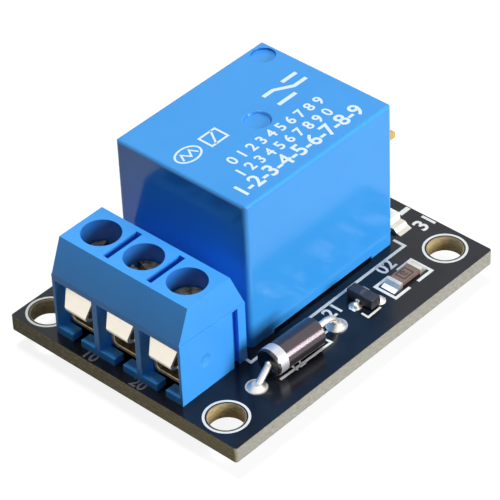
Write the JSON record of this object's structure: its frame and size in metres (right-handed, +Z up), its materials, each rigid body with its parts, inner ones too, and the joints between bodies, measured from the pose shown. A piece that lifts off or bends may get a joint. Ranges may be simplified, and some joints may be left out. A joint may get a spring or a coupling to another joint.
{
  "type": "relay module board",
  "caption": "Relay module: slate circuit board with a blue three-way screw terminal, sealed blue changeover relay, silver-banded flyback diode, small driver parts and a right-angle pin header",
  "frame": {"origin": "centre of the four mounting holes, on the underside of the board", "axes": "+X from the screw terminal to the pin header, +Y across the board away from the diode, +Z up through the board to the components"},
  "size_m": [0.0407, 0.0271, 0.0191],
  "materials": {
    "solder_mask": "gloss",
    "terminal_plastic": "satin",
    "relay_plastic": "gloss",
    "brass": "satin",
    "plated_steel": "satin",
    "soft_iron": "satin",
    "bobbin_plastic": "matte",
    "copper_wire": "gloss",
    "contact_silver": "satin",
    "tinned_metal": "satin",
    "black_epoxy": "satin",
    "resistor_ceramic": "satin",
    "lamp_plastic": "matte",
    "lamp_resin": "gloss",
    "header_plastic": "matte",
    "gilt_pin": "satin"
  },
  "bodies": {
    "module": {"board": "solder_mask", "terminal_housing": "terminal_plastic", "clamp_cage_1": "brass", "clamp_cage_2": "brass", "clamp_cage_3": "brass", "relay_cover": "relay_plastic", "relay_base": "relay_plastic", "coil_bobbin": "bobbin_plastic", "coil_winding": "copper_wire", "coil_core": "soft_iron", "coil_pin_1": "tinned_metal", "coil_pin_2": "tinned_metal", "yoke": "soft_iron", "common_terminal": "brass", "open_terminal": "brass", "open_contact": "contact_silver", "closed_terminal": "brass", "closed_contact": "contact_silver", "diode_body": "black_epoxy", "diode_lead_1": "tinned_metal", "diode_lead_2": "tinned_metal", "transistor_body": "black_epoxy", "transistor_leg_1": "tinned_metal", "transistor_leg_2": "tinned_metal", "transistor_leg_3": "tinned_metal", "base_resistor": "resistor_ceramic", "base_resistor_end_1": "tinned_metal", "base_resistor_end_2": "tinned_metal", "lamp_resistor": "resistor_ceramic", "lamp_resistor_end_1": "tinned_metal", "lamp_resistor_end_2": "tinned_metal", "lamp_base": "lamp_plastic", "lamp_lens": "lamp_resin", "lamp_end_1": "tinned_metal", "lamp_end_2": "tinned_metal", "header_bar": "header_plastic", "header_pin_1": "gilt_pin", "header_pin_2": "gilt_pin", "header_pin_3": "gilt_pin", "solder_joints": "tinned_metal"},
    "clamp_1": {"wire_guard_1": "plated_steel"},
    "clamp_2": {"wire_guard_2": "plated_steel"},
    "clamp_3": {"wire_guard_3": "plated_steel"},
    "screw_1": {"terminal_screw_1": "plated_steel"},
    "screw_2": {"terminal_screw_2": "plated_steel"},
    "screw_3": {"terminal_screw_3": "plated_steel"},
    "contact_arm": {"armature": "soft_iron", "contact_spring": "brass", "moving_contact": "contact_silver"}
  },
  "joints": [
    {"name": "clamp_travel_1", "type": "slide", "parent": "module", "child": "clamp_1", "axis": [0, 0, 1], "range_m": [-0.00095, 0.0008]},
    {"name": "clamp_travel_2", "type": "slide", "parent": "module", "child": "clamp_2", "axis": [0, 0, 1], "range_m": [-0.00135, 0.0004]},
    {"name": "clamp_travel_3", "type": "slide", "parent": "module", "child": "clamp_3", "axis": [0, 0, 1], "range_m": [-0.00117, 0.00058]},
    {"name": "screw_turn_1", "type": "hinge", "parent": "clamp_1", "child": "screw_1", "pos_m": [-0.01215, 0.00567, 0.0093], "axis": [0, 0, 1], "range_deg": [-686, 578]},
    {"name": "screw_turn_2", "type": "hinge", "parent": "clamp_2", "child": "screw_2", "pos_m": [-0.01215, 0.00059, 0.0098], "axis": [0, 0, 1], "range_deg": [-974, 290]},
    {"name": "screw_turn_3", "type": "hinge", "parent": "clamp_3", "child": "screw_3", "pos_m": [-0.01215, -0.00449, 0.0095], "axis": [0, 0, 1], "range_deg": [-845, 420]},
    {"name": "armature_tilt", "type": "hinge", "parent": "module", "child": "contact_arm", "pos_m": [0.00971, 0.00112, 0.01425], "axis": [0, -1, 0], "range_deg": [0, 2.15], "stiffness_Nm_per_rad": 0.01, "springref_deg": -8.59}
  ],
  "couplings": [
    {"joint": "screw_turn_1", "follows": "clamp_travel_1", "rad_per_m": 12566},
    {"joint": "screw_turn_2", "follows": "clamp_travel_2", "rad_per_m": 12566},
    {"joint": "screw_turn_3", "follows": "clamp_travel_3", "rad_per_m": 12566}
  ]
}
